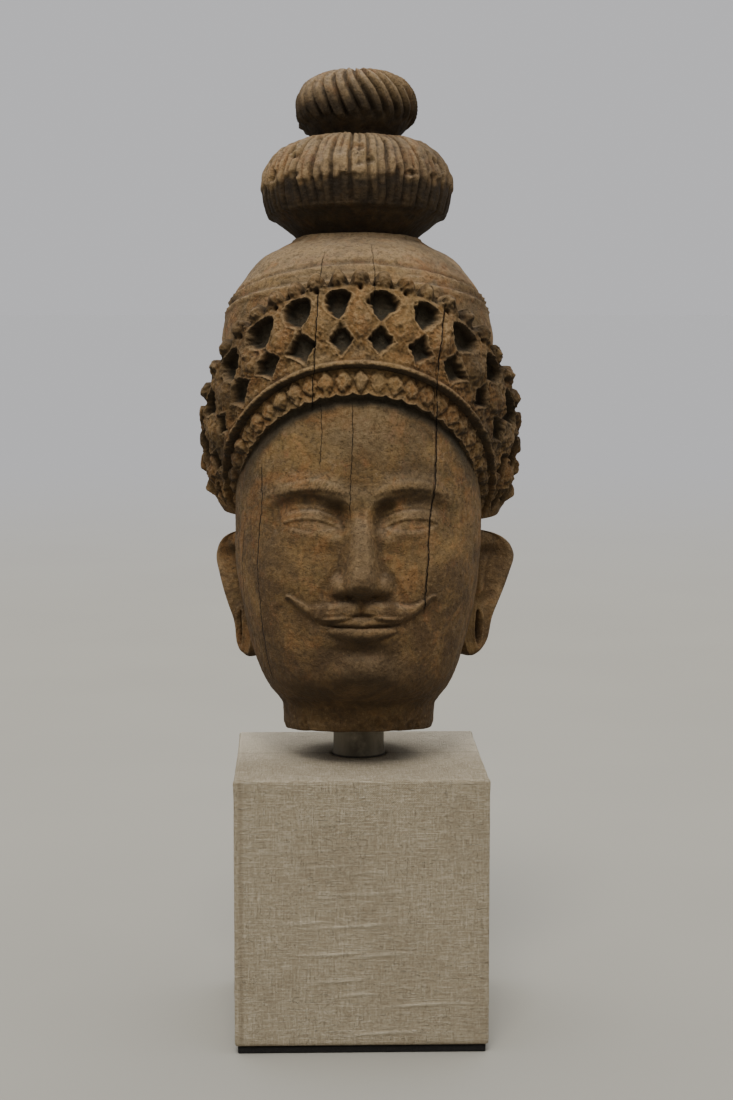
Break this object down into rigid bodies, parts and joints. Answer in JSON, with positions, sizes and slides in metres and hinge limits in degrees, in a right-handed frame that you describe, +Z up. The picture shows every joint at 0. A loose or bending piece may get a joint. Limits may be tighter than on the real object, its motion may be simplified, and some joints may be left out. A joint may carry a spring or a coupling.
{
  "type": "carved wooden head on a block mount",
  "caption": "Carved wooden guardian head with openwork crown and ribbed topknot, held by a short post on a linen-covered square block.",
  "frame": {"origin": "middle of the underside of the base pad", "axes": "+Z up, the face looks towards -Y, +X to the viewer's right"},
  "size_m": [0.2148, 0.213, 0.6223],
  "materials": {
    "pad_black": "thin black felt pad",
    "linen": "natural linen with slubs, glued over the block",
    "post_offwhite": "matt off-white paint, dusty",
    "old_wood": "old dry carved wood, worn, cracked and dusty, traces of red and green"
  },
  "bodies": {
    "root": {"base_pad": "pad_black", "linen_block": "linen", "support_post": "post_offwhite", "carved_head": "old_wood"}
  },
  "joints": []
}
